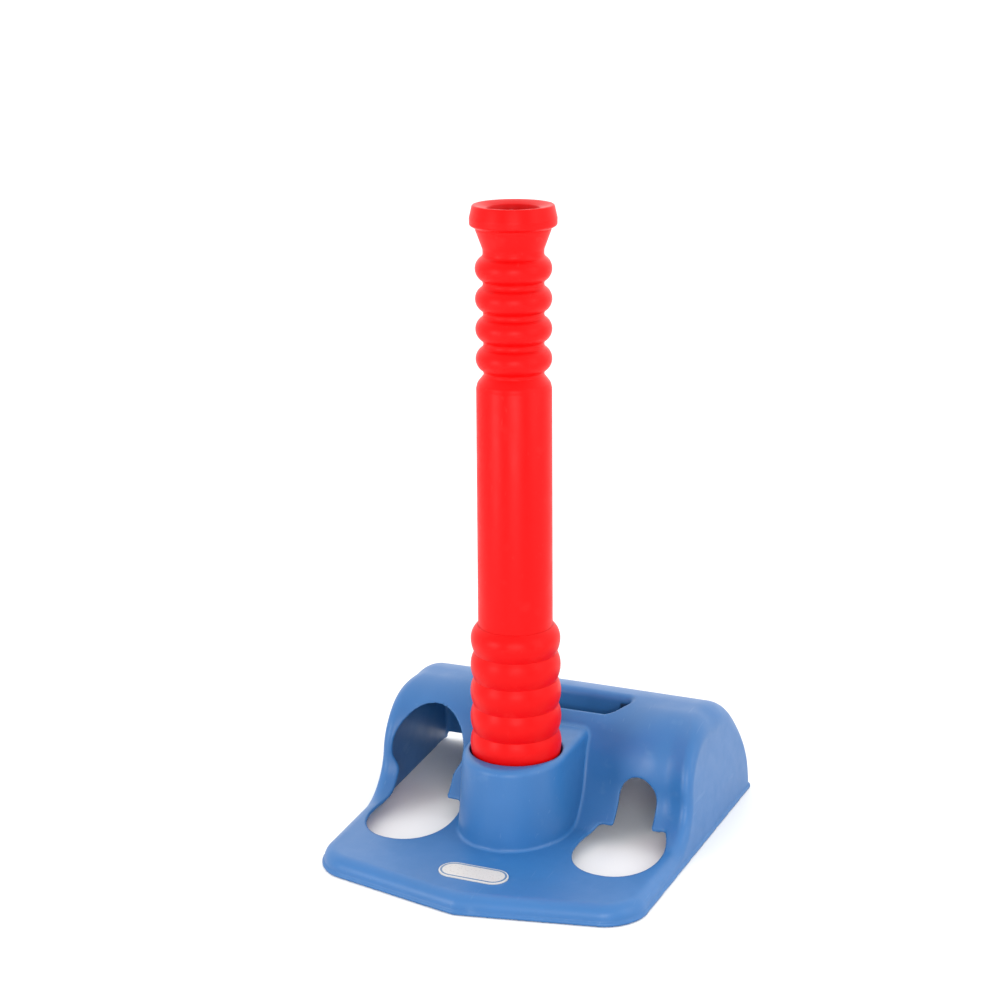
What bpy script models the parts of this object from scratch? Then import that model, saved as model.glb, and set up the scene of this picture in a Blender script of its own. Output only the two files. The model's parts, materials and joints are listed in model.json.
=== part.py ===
"""A child's batting tee: a moulded base shell, a post in two pieces and a label.

The post stands on the world Z axis and the floor is Z = 0.  +X is the right
side of the base and -Y its front edge, where the ball is hit from.  The lower
sleeve turns in the base's socket, and the upper tube slides up and down in the
sleeve, one corrugation at a time.
"""

import math

import bmesh
import bpy

# --- driving dimensions, in metres ------------------------------------------
WALL = 0.0028             # thickness of the base's moulded shell
BASE_X = 0.004            # middle of the base; the socket is a little to its left
HALF_WIDTH = 0.1395       # of the base's foot, at the post's axis
WIDTH_PER_DEPTH = 0.040   # the base widens towards the rear
WIDTH_PER_HEIGHT = 0.05   # and its side walls lean in, for the mould
NOSE_Y = -0.1385          # point of the shallow V of the front edge
NOSE_SLOPE = 0.212
CORNER_R = 0.026          # front corners, seen from above
EDGE_R = 0.010            # edges of the plate
PLATE_TOP = 0.0145

# the hump across the rear, which is also the carrying handle
CREST_FRONT_Y = 0.080     # the crest is level between these two
CREST_REAR_Y = 0.095
CREST_Z = 0.101
END_R = 0.018             # edges of the hump's two ends
REAR_FOOT_Y = 0.1745
FOOT_CORNER_R = 0.007     # rear corners at the floor, tighter than those above
REAR_AXIS_Z = 0.005
FACE_Y = 0.031            # its front face, out at the sides
FACE_RECESS = 0.031       # how far the face steps back behind the tower
RECESS_INNER_X = 0.020
RECESS_OUTER_X = 0.085
HORN = 0.011              # how far the face comes forward at the two ends
HORN_INNER_X = 0.111
SWEEP_R = 0.034           # hollow curve between the plate and the face
RELIEF_HALF_LENGTH = 0.136  # the rear wall's foot is cut clear of the floor
RELIEF_HEIGHT = 0.007

# the slot in the hump's crest
SLOT_Y = 0.0805
SLOT_HALF_LENGTH = 0.063
SLOT_HALF_WIDTH = 0.0105
SLOT_FRONT_R = 0.018      # its front corners, seen from above
SLOT_LIP_DEPTH = 0.016

# the openings beside the post: one in the plate, one arch in the hump's face
PLATE_HOLE_X = 0.0898     # from the middle of the base
PLATE_HOLE_Y = -0.0165
PLATE_HOLE_HALF_X = 0.0346
PLATE_HOLE_HALF_Y = 0.0455
PLATE_HOLE_REAR_Y = 0.018
PLATE_HOLE_BLUNT = 0.9    # 1 would make it an ellipse and 0 a rectangle
PLATE_HOLE_REAR_STRETCH = 1.15
LEFT_ARCH_X = -0.0935
LEFT_ARCH_HALF_WIDTH = 0.0298
LEFT_ARCH_SPRING_Z = 0.050
LEFT_ARCH_RISE = 0.0372
LEFT_ARCH_TOE = 0.006     # it narrows by this at each foot
RIGHT_ARCH_X = 0.0935
RIGHT_ARCH_HALF_WIDTH = 0.0172
RIGHT_ARCH_SPRING_Z = 0.034
RIGHT_ARCH_RISE = 0.0213
RIGHT_ARCH_TOE = 0.001
ARCH_TOE_Z = (0.022, 0.036)

# the tower and the socket inside it
TOWER_TOP = 0.0815
TOWER_FOOT_R = 0.0468     # its half width
TOWER_HEAD_R = 0.0418
TOWER_FRONT_STRETCH = 1.2   # it is deeper than round in front of the post
TOWER_REAR_Y = 0.0665
TOWER_EDGE_R = 0.003
SOCKET_R = 0.0374
SOCKET_WALL = 0.0026
SOCKET_FLOOR = 0.003
RIB_WIDTH = 0.0024
RIB_SPACING = 0.030

# the post
POST_WALL = 0.0026
TUBE_R = 0.0296
TUBE_END_Z = 0.100
SHOULDER_Z = 0.3905       # the lowest valley of the neck
RING_PITCH = 0.0231
RING_COUNT = 4
RING_CREST_R = 0.0293
RING_VALLEY_R = 0.0232
RING_FLANK = 1.35         # above 1, the crests are broader than the valleys
NECK_TOP_R = 0.0292
UNDERCUT = 0.0025         # between the neck's top and the flange
SHOULDER_DROP = 0.010     # height of the shoulder between the neck and the tube
FLANGE_R = 0.0333
FLANGE_TOP_R = 0.0300
FLANGE_FOOT_Z = 0.5045
FLANGE_CHAMFER = 0.007
RIM_Z = 0.5195
SEAT_R = 0.0200           # the opening that the ball rests on
SEAT_DISH = 0.0025        # how far the rim dips towards it
SEAT_DEPTH = 0.010
BEAD_R = 0.0302           # the tube's lower bead, which finds the rings
BEAD_Z = 0.1095
BEAD_HALF = 0.0025        # half of a bead's flat, and the ramp beyond it
BEAD_RAMP = 0.0030
EDGE_BREAK = 0.0010       # small broken edges of the turned pieces

SLEEVE_CREST_R = (0.0357, 0.0360, 0.0363, 0.0365, 0.0367)
SLEEVE_TOP_CREST_Z = 0.1758
SLEEVE_PITCH = 0.0222
SLEEVE_VALLEY_DEPTH = 0.0028
SLEEVE_FLANK = 1.7        # above 1, round crests meet in sharper valleys
SLEEVE_LIP_RISE = 0.0118
SLEEVE_MOUTH_R = 0.0300
SPIGOT_R = 0.0352
SPIGOT_FOOT_Z = 0.0040
SPIGOT_BEAD_R = 0.0366
SPIGOT_BEAD_Z = 0.0115
LEDGE_R = 0.0260          # the sleeve's inner ledge, which stops the tube

LABEL_X = 0.003
LABEL_Y = -0.0965
LABEL_LENGTH = 0.057
LABEL_WIDTH = 0.024
LABEL_THICKNESS = 0.0008
GAP = 0.0003              # between pieces that rest on each other

SEAM = 0.0001             # points closer than this are one point
SEGMENTS = 32             # round the post
CUT = 0.010               # how far a cutter passes through
SHARPEST = 0.0005         # the least radius of a rounded edge
STATIONS = 11             # across each half of the base, before its rounded end
END_STEPS = 6


# --- helpers -----------------------------------------------------------------
def clear_scene():
    for obj in list(bpy.data.objects):
        bpy.data.objects.remove(obj, do_unlink=True)


def new_collection(name):
    collection = bpy.data.collections.new(name)
    bpy.context.scene.collection.children.link(collection)
    return collection


def plastic(name, colour, roughness):
    material = bpy.data.materials.new(name)
    material.use_nodes = True
    shader = material.node_tree.nodes["Principled BSDF"]
    shader.inputs["Base Color"].default_value = (*colour, 1.0)
    shader.inputs["Roughness"].default_value = roughness
    shader.inputs["Metallic"].default_value = 0.0
    return material


def new_object(name, bm, collection, material=None):
    mesh = bpy.data.meshes.new(name)
    bm.to_mesh(mesh)
    bm.free()
    obj = bpy.data.objects.new(name, mesh)
    collection.objects.link(obj)
    if material:
        mesh.materials.append(material)
    return obj


def shade_round(obj, degrees=35):
    obj.data.shade_smooth()
    obj.data.set_sharp_from_angle(angle=math.radians(degrees))


def as_guide(obj):
    obj.hide_render = True
    obj.display_type = "WIRE"
    return obj


def loft(name, rings, collection, material=None):
    """A closed solid through rings of equally many points, capped at both ends."""
    bm = bmesh.new()
    rows = [[bm.verts.new(point) for point in ring] for ring in rings]
    for row, following in zip(rows, rows[1:]):
        for i in range(len(row)):
            j = (i + 1) % len(row)
            bm.faces.new((row[i], row[j], following[j], following[i]))
    bm.faces.new(reversed(rows[0]))
    bm.faces.new(rows[-1])
    bmesh.ops.recalc_face_normals(bm, faces=bm.faces)
    return new_object(name, bm, collection, material)


def prism(name, outline, low, high, collection):
    """An upright solid over a plan outline of (x, y) points."""
    rings = [[(x, y, z) for x, y in outline] for z in (low, high)]
    return as_guide(loft(name, rings, collection))


def combine(target, tool, operation):
    modifier = target.modifiers.new(operation.title() + " " + tool.name, "BOOLEAN")
    modifier.operation = operation
    modifier.solver = "MANIFOLD"  # the exact solver leaves hairline gaps beside the slot
    modifier.object = tool


def arc(centre, radius_a, radius_b, start, end, steps):
    """Points of an ellipse's arc, angles in degrees, both ends included."""
    points = []
    for i in range(steps + 1):
        angle = math.radians(start + (end - start) * i / steps)
        a = centre[0] + radius_a * math.cos(angle)
        b = centre[1] + radius_b * math.sin(angle)
        points.append((a, b))
    return points


def smooth_step(value, low, high):
    t = min(max((value - low) / (high - low), 0.0), 1.0)
    return t * t * (3.0 - 2.0 * t)


def turned(name, profile, collection, material):
    """Turns a closed (radius, z) profile about Z; the profile's outer side runs down."""
    bm = bmesh.new()
    verts = [bm.verts.new((radius, 0.0, z)) for radius, z in profile]
    for i, vert in enumerate(verts):
        bm.edges.new((vert, verts[(i + 1) % len(verts)]))
    obj = new_object(name, bm, collection, material)
    screw = obj.modifiers.new("Turn", "SCREW")
    screw.steps = SEGMENTS
    screw.render_steps = SEGMENTS
    screw.use_merge_vertices = True
    screw.merge_threshold = 0.00001
    screw.use_smooth_shade = True
    return obj


# --- the base -----------------------------------------------------------------
def face_y(x):
    """The front face of the hump, halfway up: behind the post it steps back."""
    recess = FACE_RECESS * (1.0 - smooth_step(x, RECESS_INNER_X, RECESS_OUTER_X))
    horn = HORN * smooth_step(x, HORN_INNER_X, HALF_WIDTH)
    return FACE_Y + recess - horn


def front_y(x):
    """The front edge: a shallow V with rounded corners."""
    past = x - (HALF_WIDTH - CORNER_R)
    corner = CORNER_R - math.sqrt(CORNER_R ** 2 - past ** 2) if past > 0.0 else 0.0
    return NOSE_Y + NOSE_SLOPE * x + corner


def rounded_off(x, end, radius):
    """How far an edge of this radius has dropped at distance x from the middle."""
    past = min(x - (end - radius), radius)
    return radius - math.sqrt(radius ** 2 - past ** 2) if past > 0.0 else 0.0


def rear_wall(crest, end_drop, foot_drop, steps):
    """The curve from the crest down the rear wall; its corner tightens near the floor."""
    points = []
    for i in range(steps + 1):
        angle = math.radians(90 - 90 * i / steps)
        near_floor = (1.0 - math.sin(angle)) ** 2
        drop = end_drop + (foot_drop - end_drop) * near_floor
        reach = REAR_FOOT_Y - drop - CREST_REAR_Y
        y = CREST_REAR_Y + reach * math.cos(angle)
        z = REAR_AXIS_Z + (crest - REAR_AXIS_Z) * math.sin(angle)
        points.append((y, z))
    return points


def section(x, inset, floor):
    """The base's side profile at distance x from its middle, as (y, z) points."""
    end = HALF_WIDTH - inset
    thin = inset + rounded_off(x, end, EDGE_R - inset)
    front = front_y(x) + thin
    face = face_y(x) + thin
    plate = PLATE_TOP - thin
    edge = max(EDGE_R - thin, SHARPEST)
    sweep = SWEEP_R + thin
    spring = plate + sweep
    drop = inset + rounded_off(x, end, END_R - inset)
    crest = CREST_Z - drop
    points = [(front, floor)]
    points += arc((front + edge, plate - edge), edge, edge, 180, 90, 3)
    points += arc((face - sweep, spring), sweep, sweep, 270, 360, 5)
    points += arc((CREST_FRONT_Y, spring), CREST_FRONT_Y - face, crest - spring, 180, 90, 6)[1:]
    foot_drop = inset + rounded_off(x, end, FOOT_CORNER_R - inset)
    points += rear_wall(crest, drop, foot_drop, 8)
    points.append((REAR_FOOT_Y - foot_drop, floor))
    return points


def base_body(name, inset, floor, collection, material=None):
    """The base's whole form as a solid; inset shrinks it for the hollow inside."""
    rounding = END_R - inset
    plain = HALF_WIDTH - END_R
    stations = [plain * i / STATIONS for i in range(STATIONS + 1)]
    for i in range(1, END_STEPS + 1):
        stations.append(plain + rounding * math.sin(math.radians(90 * i / END_STEPS)))
    rings = []
    for x in [-x for x in reversed(stations[1:])] + stations:
        ring = []
        for y, z in section(abs(x), inset, floor):
            spread = 1.0 + (WIDTH_PER_DEPTH * y - WIDTH_PER_HEIGHT * z) / HALF_WIDTH
            ring.append((BASE_X + x * spread, y, z))
        rings.append(ring)
    return loft(name, rings, collection, material)


def tower_body(name, inset, foot, head, rear, collection):
    """The socket tower: rounded in front, straight sides back into the hump."""
    def ring(z, shrink):
        lean = (TOWER_FOOT_R - TOWER_HEAD_R) * z / TOWER_TOP
        side = TOWER_FOOT_R - lean - inset - shrink
        points = arc((0.0, 0.0), side, side * TOWER_FRONT_STRETCH, 180, 360, 16)
        return [(x, y, z) for x, y in points] + [(side, rear, z), (-side, rear, z)]

    rings = [ring(foot, 0.0)]
    for i in range(4):
        angle = math.radians(30 * i)
        below = TOWER_EDGE_R * (1.0 - math.sin(angle))
        rings.append(ring(head - below, TOWER_EDGE_R * (1.0 - math.cos(angle))))
    return as_guide(loft(name, rings, collection))


def rounded_slot(half_length, half_width, front_r, steps=6):
    """Plan outline along X, centred on the origin; the rear corners take up the rest of each end."""
    rear_r = 2.0 * half_width - front_r
    middle = front_r - half_width
    right = arc((half_length - front_r, middle), front_r, front_r, -90, 0, steps)
    right += arc((half_length - rear_r, middle), rear_r, rear_r, 0, 90, steps)[1:]
    return right + [(-x, y) for x, y in reversed(right)]


def blunt(value):
    """Pushes a sine or cosine outwards, which squares an ellipse up."""
    return math.copysign(abs(value) ** PLATE_HOLE_BLUNT, value)


def plate_hole(side):
    """Plan outline of an opening in the plate: full in front, cut straight at the rear."""
    outline = []
    for i in range(24):
        angle = math.radians(15 * i)
        across = blunt(math.cos(angle))
        along = blunt(math.sin(angle))
        if along > 0.0:
            along *= PLATE_HOLE_REAR_STRETCH
        y = min(PLATE_HOLE_Y + PLATE_HOLE_HALF_Y * along, PLATE_HOLE_REAR_Y)
        outline.append((BASE_X + side * (PLATE_HOLE_X + PLATE_HOLE_HALF_X * across), y))
    return outline


def arch(name, x, half_width, spring, rise, toe, collection):
    """An arched cutter through the hump's face, open below and narrower at its foot."""
    low, high = ARCH_TOE_Z
    foot = half_width - toe
    knee = half_width - 0.2 * toe
    outline = [(x + foot, -CUT), (x + foot, low)]
    outline += arc((x, spring), half_width, rise, 0, 180, 10)
    outline += [(x - foot, low), (x - foot, -CUT)]
    outline.insert(2, (x + knee, high))
    outline.insert(-2, (x - knee, high))
    rings = [[(px, y, pz) for px, pz in outline] for y in (PLATE_HOLE_REAR_Y - CUT, CREST_FRONT_Y)]
    return as_guide(loft(name, rings, collection))


def relief(collection):
    """The low cut under the rear wall, with slanted ends."""
    half = RELIEF_HALF_LENGTH
    slant = half + RELIEF_HEIGHT
    outline = [(slant, 0.0), (half, RELIEF_HEIGHT), (-half, RELIEF_HEIGHT),
               (-slant, 0.0), (-slant, -CUT), (slant, -CUT)]
    rings = [[(BASE_X + x, y, z) for x, z in outline] for y in (REAR_FOOT_Y - CUT, REAR_FOOT_Y + CUT)]
    return as_guide(loft("relief", rings, collection))


def cylinder(name, radius, low, high, collection):
    outline = arc((0.0, 0.0), radius, radius, 0, 360 - 360 / SEGMENTS, SEGMENTS - 1)
    return prism(name, outline, low, high, collection)


def shifted(outline, dx, dy):
    return [(x + dx, y + dy) for x, y in outline]


def cut_slot(base, cutters):
    """Hollows the body, leaving a lip that turns down round the slot in the crest."""
    lip_foot = CREST_Z - WALL - SLOT_LIP_DEPTH
    around = rounded_slot(SLOT_HALF_LENGTH + WALL, SLOT_HALF_WIDTH + WALL, SLOT_FRONT_R + WALL)
    inside = rounded_slot(SLOT_HALF_LENGTH, SLOT_HALF_WIDTH, SLOT_FRONT_R)
    around = shifted(around, BASE_X, SLOT_Y)
    inside = shifted(inside, BASE_X, SLOT_Y)
    hollow = as_guide(base_body("hollow", WALL, -CUT, cutters))
    combine(hollow, prism("slot_lip", around, lip_foot, CREST_Z + CUT, cutters), "DIFFERENCE")
    combine(base, hollow, "DIFFERENCE")
    combine(base, prism("slot", inside, lip_foot - CUT, CREST_Z + CUT, cutters), "DIFFERENCE")


def add_tower(base, cutters):
    outside = tower_body("tower", 0.0, PLATE_TOP / 2, TOWER_TOP, TOWER_REAR_Y, cutters)
    inside = tower_body("tower_hollow", WALL, -CUT, TOWER_TOP - WALL, TOWER_REAR_Y + WALL, cutters)
    combine(base, outside, "UNION")
    combine(base, inside, "DIFFERENCE")


def add_ribs(base, cutters):
    """Three upright ribs under the plate, from the socket to the front edge."""
    for i in (-1, 0, 1):
        x = i * RIB_SPACING
        rear = WALL / 2 - math.sqrt((SOCKET_R + SOCKET_WALL) ** 2 - x * x)
        front = front_y(abs(x - BASE_X)) + EDGE_R - WALL  # behind the edge's rounding
        left = x - RIB_WIDTH / 2
        right = x + RIB_WIDTH / 2
        outline = [(left, front), (right, front), (right, rear), (left, rear)]
        rib = prism("rib_" + str(i + 2), outline, RIB_WIDTH, PLATE_TOP - WALL / 2, cutters)
        combine(base, rib, "UNION")


def add_socket(base, cutters):
    """The tube with a floor that the post's sleeve stands in."""
    tube = cylinder("socket", SOCKET_R + SOCKET_WALL, 0.0, TOWER_TOP - WALL / 2, cutters)
    combine(base, tube, "UNION")
    combine(base, cylinder("bore", SOCKET_R, SOCKET_FLOOR, TOWER_TOP + CUT, cutters), "DIFFERENCE")


def cut_openings(base, cutters):
    for side, name in ((-1, "left"), (1, "right")):
        hole = prism(name + "_plate_hole", plate_hole(side), -CUT, PLATE_TOP + SWEEP_R, cutters)
        combine(base, hole, "DIFFERENCE")
    left = arch("left_arch", LEFT_ARCH_X, LEFT_ARCH_HALF_WIDTH, LEFT_ARCH_SPRING_Z,
                LEFT_ARCH_RISE, LEFT_ARCH_TOE, cutters)
    right = arch("right_arch", RIGHT_ARCH_X, RIGHT_ARCH_HALF_WIDTH, RIGHT_ARCH_SPRING_Z,
                 RIGHT_ARCH_RISE, RIGHT_ARCH_TOE, cutters)
    combine(base, left, "DIFFERENCE")
    combine(base, right, "DIFFERENCE")
    combine(base, relief(cutters), "DIFFERENCE")


def make_base(parts, cutters, material):
    base = base_body("base_shell", 0.0, 0.0, parts, material)
    cut_slot(base, cutters)
    add_tower(base, cutters)
    add_ribs(base, cutters)
    add_socket(base, cutters)
    cut_openings(base, cutters)
    weld = base.modifiers.new("Close hairline seams", "WELD")
    weld.merge_threshold = SEAM
    shade_round(base)


def make_label(parts, material):
    low = PLATE_TOP + GAP
    outline = rounded_slot(LABEL_LENGTH / 2, LABEL_WIDTH / 2, LABEL_WIDTH / 2)
    outline = shifted(outline, LABEL_X, LABEL_Y)
    rings = [[(x, y, z) for x, y in outline] for z in (low, low + LABEL_THICKNESS)]
    return loft("label_plate", rings, parts, material)


# --- the post -------------------------------------------------------------------
def neck_ring(crest_z, inset, steps):
    """One corrugation of the neck, running down: a round crest between soft valleys."""
    points = []
    for i in range(steps):
        t = 1.0 - 2.0 * i / steps
        drop = 0.5 - 0.5 * math.cos(math.pi * abs(t))
        radius = RING_CREST_R - (RING_CREST_R - RING_VALLEY_R) * drop ** RING_FLANK - inset
        points.append((radius, crest_z + t * RING_PITCH / 2))
    return points


def neck_rings(inset, steps):
    points = []
    for i in range(RING_COUNT):
        crest_z = SHOULDER_Z + RING_PITCH * (RING_COUNT - i - 0.5)
        points += neck_ring(crest_z, inset, steps)
    points.append((RING_VALLEY_R - inset, SHOULDER_Z))
    return points


def bead(radius, bead_radius, z):
    """A raised bead on an outer side that runs down, centred on z."""
    return [(radius, z + BEAD_HALF + BEAD_RAMP), (bead_radius, z + BEAD_HALF),
            (bead_radius, z - BEAD_HALF), (radius, z - BEAD_HALF - BEAD_RAMP)]


def make_tube(parts, material):
    """The flange that the ball rests on, the neck and the tube, in one moulding."""
    neck_top = SHOULDER_Z + RING_PITCH * RING_COUNT
    bore = TUBE_R - POST_WALL
    outer = [
        (SEAT_R + EDGE_BREAK, RIM_Z - SEAT_DISH),
        (FLANGE_TOP_R - 2 * EDGE_BREAK, RIM_Z),
        (FLANGE_TOP_R, RIM_Z - EDGE_BREAK),
        (FLANGE_R - EDGE_BREAK / 2, RIM_Z - FLANGE_CHAMFER),
        (FLANGE_R, FLANGE_FOOT_Z + 2 * EDGE_BREAK),
        (FLANGE_R - EDGE_BREAK, FLANGE_FOOT_Z),
        (NECK_TOP_R, FLANGE_FOOT_Z - UNDERCUT),
    ]
    outer += neck_rings(0.0, 8)
    outer += [(TUBE_R - EDGE_BREAK, SHOULDER_Z - SHOULDER_DROP * 0.7),
              (TUBE_R, SHOULDER_Z - SHOULDER_DROP * 1.5)]
    outer += bead(TUBE_R, BEAD_R, BEAD_Z)
    outer.append((TUBE_R - EDGE_BREAK, TUBE_END_Z))
    inner = [(bore - EDGE_BREAK, TUBE_END_Z),
             (bore, TUBE_END_Z + 2 * EDGE_BREAK),
             (bore, SHOULDER_Z - SHOULDER_DROP * 1.2)]
    inner += list(reversed(neck_rings(POST_WALL, 4)))
    inner += [(SEAT_R + POST_WALL, neck_top + SEAT_DEPTH),
              (SEAT_R, RIM_Z - SEAT_DEPTH),
              (SEAT_R, RIM_Z - SEAT_DISH - EDGE_BREAK)]
    return turned("upper_tube", outer + inner, parts, material)


def sleeve_rings(inset, steps):
    """The sleeve's corrugations from the first valley down to the last crest."""
    points = []
    for i in range(1, len(SLEEVE_CREST_R)):
        crest_z = SLEEVE_TOP_CREST_Z - i * SLEEVE_PITCH
        for k in range(steps):
            t = 1.0 - 2.0 * k / steps
            radius = SLEEVE_CREST_R[i] - SLEEVE_VALLEY_DEPTH * abs(t) ** SLEEVE_FLANK - inset
            if i == len(SLEEVE_CREST_R) - 1 and t < 0.0:
                break
            points.append((radius, crest_z + t * SLEEVE_PITCH / 2))
    return points


def make_sleeve(parts, material):
    """The corrugated sleeve, its spigot in the base's socket and its ledge inside."""
    crest = SLEEVE_CREST_R[0]
    lip_r = SLEEVE_MOUTH_R + GAP
    last_z = SLEEVE_TOP_CREST_Z - (len(SLEEVE_CREST_R) - 1) * SLEEVE_PITCH
    spigot_top = last_z - SLEEVE_PITCH / 2
    bore = SPIGOT_R - POST_WALL
    outer = arc((lip_r, SLEEVE_TOP_CREST_Z), crest - lip_r, SLEEVE_LIP_RISE, 90, 0, 5)
    outer += sleeve_rings(0.0, 6)
    outer.append((SPIGOT_R, spigot_top))
    outer += bead(SPIGOT_R, SPIGOT_BEAD_R, SPIGOT_BEAD_Z)
    outer.append((SPIGOT_R - EDGE_BREAK, SPIGOT_FOOT_Z))
    inner = [(LEDGE_R, SPIGOT_FOOT_Z),
             (LEDGE_R, SPIGOT_FOOT_Z + POST_WALL),
             (bore, SPIGOT_FOOT_Z + POST_WALL),
             (bore, spigot_top)]
    inner += list(reversed(sleeve_rings(POST_WALL, 4)))
    inner += [(crest - POST_WALL, SLEEVE_TOP_CREST_Z),
              (crest - POST_WALL - EDGE_BREAK, SLEEVE_TOP_CREST_Z + SLEEVE_LIP_RISE * 0.4),
              (SLEEVE_MOUTH_R, SLEEVE_TOP_CREST_Z + SLEEVE_LIP_RISE - POST_WALL)]
    return turned("lower_sleeve", outer + inner, parts, material)


def main():
    clear_scene()
    parts = new_collection("batting_tee")
    cutters = new_collection("cutters")
    blue = plastic("blue_plastic", (0.075, 0.21, 0.52), 0.42)
    red = plastic("red_plastic", (0.82, 0.012, 0.012), 0.38)
    white = plastic("label_white", (0.80, 0.78, 0.76), 0.35)
    make_base(parts, cutters, blue)
    make_label(parts, white)
    make_sleeve(parts, red)
    make_tube(parts, red)


main()
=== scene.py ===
"""The looks of the batting tee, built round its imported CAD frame.

The base is one moulded shell.  Its form is written as a signed field, negative
inside the plastic, which is meshed with a surface net: that gives every edge and
hollow corner its own radius.  The post's two pieces are fine turned profiles, and
the label is a thin plate with rounded edges.  Metres, +Z up, floor at Z = 0.
"""

import json
import math

import bpy
import numpy as np
from mathutils import Matrix, Vector


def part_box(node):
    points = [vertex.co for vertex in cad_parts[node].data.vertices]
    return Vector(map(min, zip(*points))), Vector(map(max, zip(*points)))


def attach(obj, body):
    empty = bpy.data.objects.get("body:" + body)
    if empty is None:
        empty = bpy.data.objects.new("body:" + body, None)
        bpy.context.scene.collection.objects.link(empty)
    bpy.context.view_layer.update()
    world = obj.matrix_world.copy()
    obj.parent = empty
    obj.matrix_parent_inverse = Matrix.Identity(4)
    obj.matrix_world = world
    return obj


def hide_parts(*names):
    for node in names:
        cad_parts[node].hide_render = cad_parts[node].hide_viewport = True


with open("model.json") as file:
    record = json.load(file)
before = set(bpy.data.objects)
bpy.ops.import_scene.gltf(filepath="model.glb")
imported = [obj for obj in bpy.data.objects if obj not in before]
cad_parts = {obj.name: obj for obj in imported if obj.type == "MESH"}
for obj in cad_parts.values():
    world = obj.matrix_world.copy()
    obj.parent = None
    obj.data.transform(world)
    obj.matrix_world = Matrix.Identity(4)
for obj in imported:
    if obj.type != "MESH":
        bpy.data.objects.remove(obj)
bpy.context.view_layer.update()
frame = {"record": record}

# --- from the frame -----------------------------------------------------------
BASE_LOW, BASE_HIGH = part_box("base_shell")
LABEL_LOW, LABEL_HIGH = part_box("label_plate")
LABEL_MIDDLE = [(LABEL_LOW[n] + LABEL_HIGH[n]) / 2 for n in (0, 1)]
SLEEVE_LOW, SLEEVE_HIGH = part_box("lower_sleeve")
TUBE_LOW, TUBE_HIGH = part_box("upper_tube")
MOUNTS = {mount["name"]: mount for mount in frame["record"]["mounts"]}

NOSE_Y = BASE_LOW[1]
REAR_FOOT_Y = BASE_HIGH[1]
CREST_Z = BASE_HIGH[2]
TOWER_TOP = MOUNTS["tower_top"]["pos_m"][2]
RIM_Z = TUBE_HIGH[2]
TUBE_END_Z = TUBE_LOW[2]
FLANGE_R = TUBE_HIGH[0]
SPIGOT_FOOT_Z = SLEEVE_LOW[2]
LIP_Z = SLEEVE_HIGH[2]

# --- the base's form ----------------------------------------------------------
CELL = 0.00125            # size of the surface net's cells
PULLS = 3                 # steps that move the net onto the surface
LONGEST_PULL = 0.5        # of a cell
LEAST_SLOPE = 0.25        # squared; a step trusts no flatter field
TINY = 1e-9               # keeps a division off zero
WALL = 0.0028
WIDTH_PER_DEPTH = 0.040   # the base widens towards the rear
WIDTH_PER_HEIGHT = 0.05   # and its walls lean in, for the mould
FOOT_CORNER_R = 0.007
BASE_X = (BASE_LOW[0] + BASE_HIGH[0]) / 2   # the socket is a little left of this
HALF_WIDTH = (BASE_HIGH[0] - BASE_LOW[0]) / 2 - WIDTH_PER_DEPTH * (REAR_FOOT_Y - FOOT_CORNER_R)
NOSE_SLOPE = 0.212
NOSE_R = 0.003            # the V's point is a little rounded
CORNER_R = 0.026
PLATE_TOP = 0.0145
EDGE_R = 0.010            # edges of the plate, and of the hump's two ends
RIDGE_R = 0.010           # where the hump's face meets its ends
END_R = 0.018             # and round the rest of its ends
FLANGE_WIDTH = 0.0013     # a small flange all round the foot
FLANGE_HEIGHT = 0.0030
FLANGE_EDGE_R = 0.0007
FLANGE_FILLET = 0.0010
FOOT_EDGE_R = 0.0007
EDGE_BLEND_Y = (0.0, 0.120)       # the plate's edge radius gives way to the rear corner's,
RIDGE_BLEND_Y = (0.045, 0.090)    # the ridge's to the ends',
EDGE_BLEND_Z = (0.020, 0.075)     # and the lower pair to the upper pair

CREST_FRONT_Y = 0.080
CREST_REAR_Y = 0.095
CREST_DROP = 0.0008       # its crest is this much lower at the two ends,
CREST_DROP_Z = (0.040, 0.090)     # an effect that comes in between these
REAR_AXIS_Z = 0.005
FACE_Y = 0.031            # the hump's front face, out at the sides
HORN = 0.011              # it comes forward at the two ends
HORN_X = (0.111, HALF_WIDTH)
SWEEP_R = 0.034           # hollow curve between the plate and the face
SCOOP_FOOT = (0.033, 0.045)  # (y, z) of the flatter slope behind the tower
SCOOP_HEAD = (0.067, 0.093)
SCOOP_X = (0.040, 0.105)  # it fades out between these
SCOOP_FOOT_R = 0.020
SCOOP_CREST_R = 0.012

SLOT_Y = 0.0805
SLOT_HALF_LENGTH = 0.063
SLOT_HALF_WIDTH = 0.0105
SLOT_CORNER_R = (0.018, 0.003)  # seen from above, in front and at the rear
SLOT_RIM_R = (0.0012, 0.0055)   # the rim's edge is tight in front and soft at the rear
SLOT_RIM_Y = (0.0745, 0.0865)
SLOT_LIP = 0.018          # the lip turns down this far along the slot's sides
SLOT_END_LIP = (0.014, 0.0050)  # and this far round its ends, in front and at the rear
SLOT_LIP_X = (0.051, 0.054)
SLOT_LIP_Y = (0.073, 0.086)
SLOT_FLOOR_Z = 0.050      # the slot is open from above down to the hollow below it

TOWER_FOOT_R = 0.0468     # its half width
TOWER_HEAD_R = 0.0418
TOWER_FRONT_STRETCH = 1.2   # it is deeper than round in front of the post
TOWER_REAR_Y = 0.085
TOWER_EDGE_R = 0.0055
TOWER_FILLET = 0.0024
SOCKET_R = 0.0374
SOCKET_FLOOR = 0.003
SOCKET_RIM_R = 0.0014
RIB_WIDTH = 0.0026
RIB_SPACING = 0.030
RIB_FILLET = 0.0010

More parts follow.
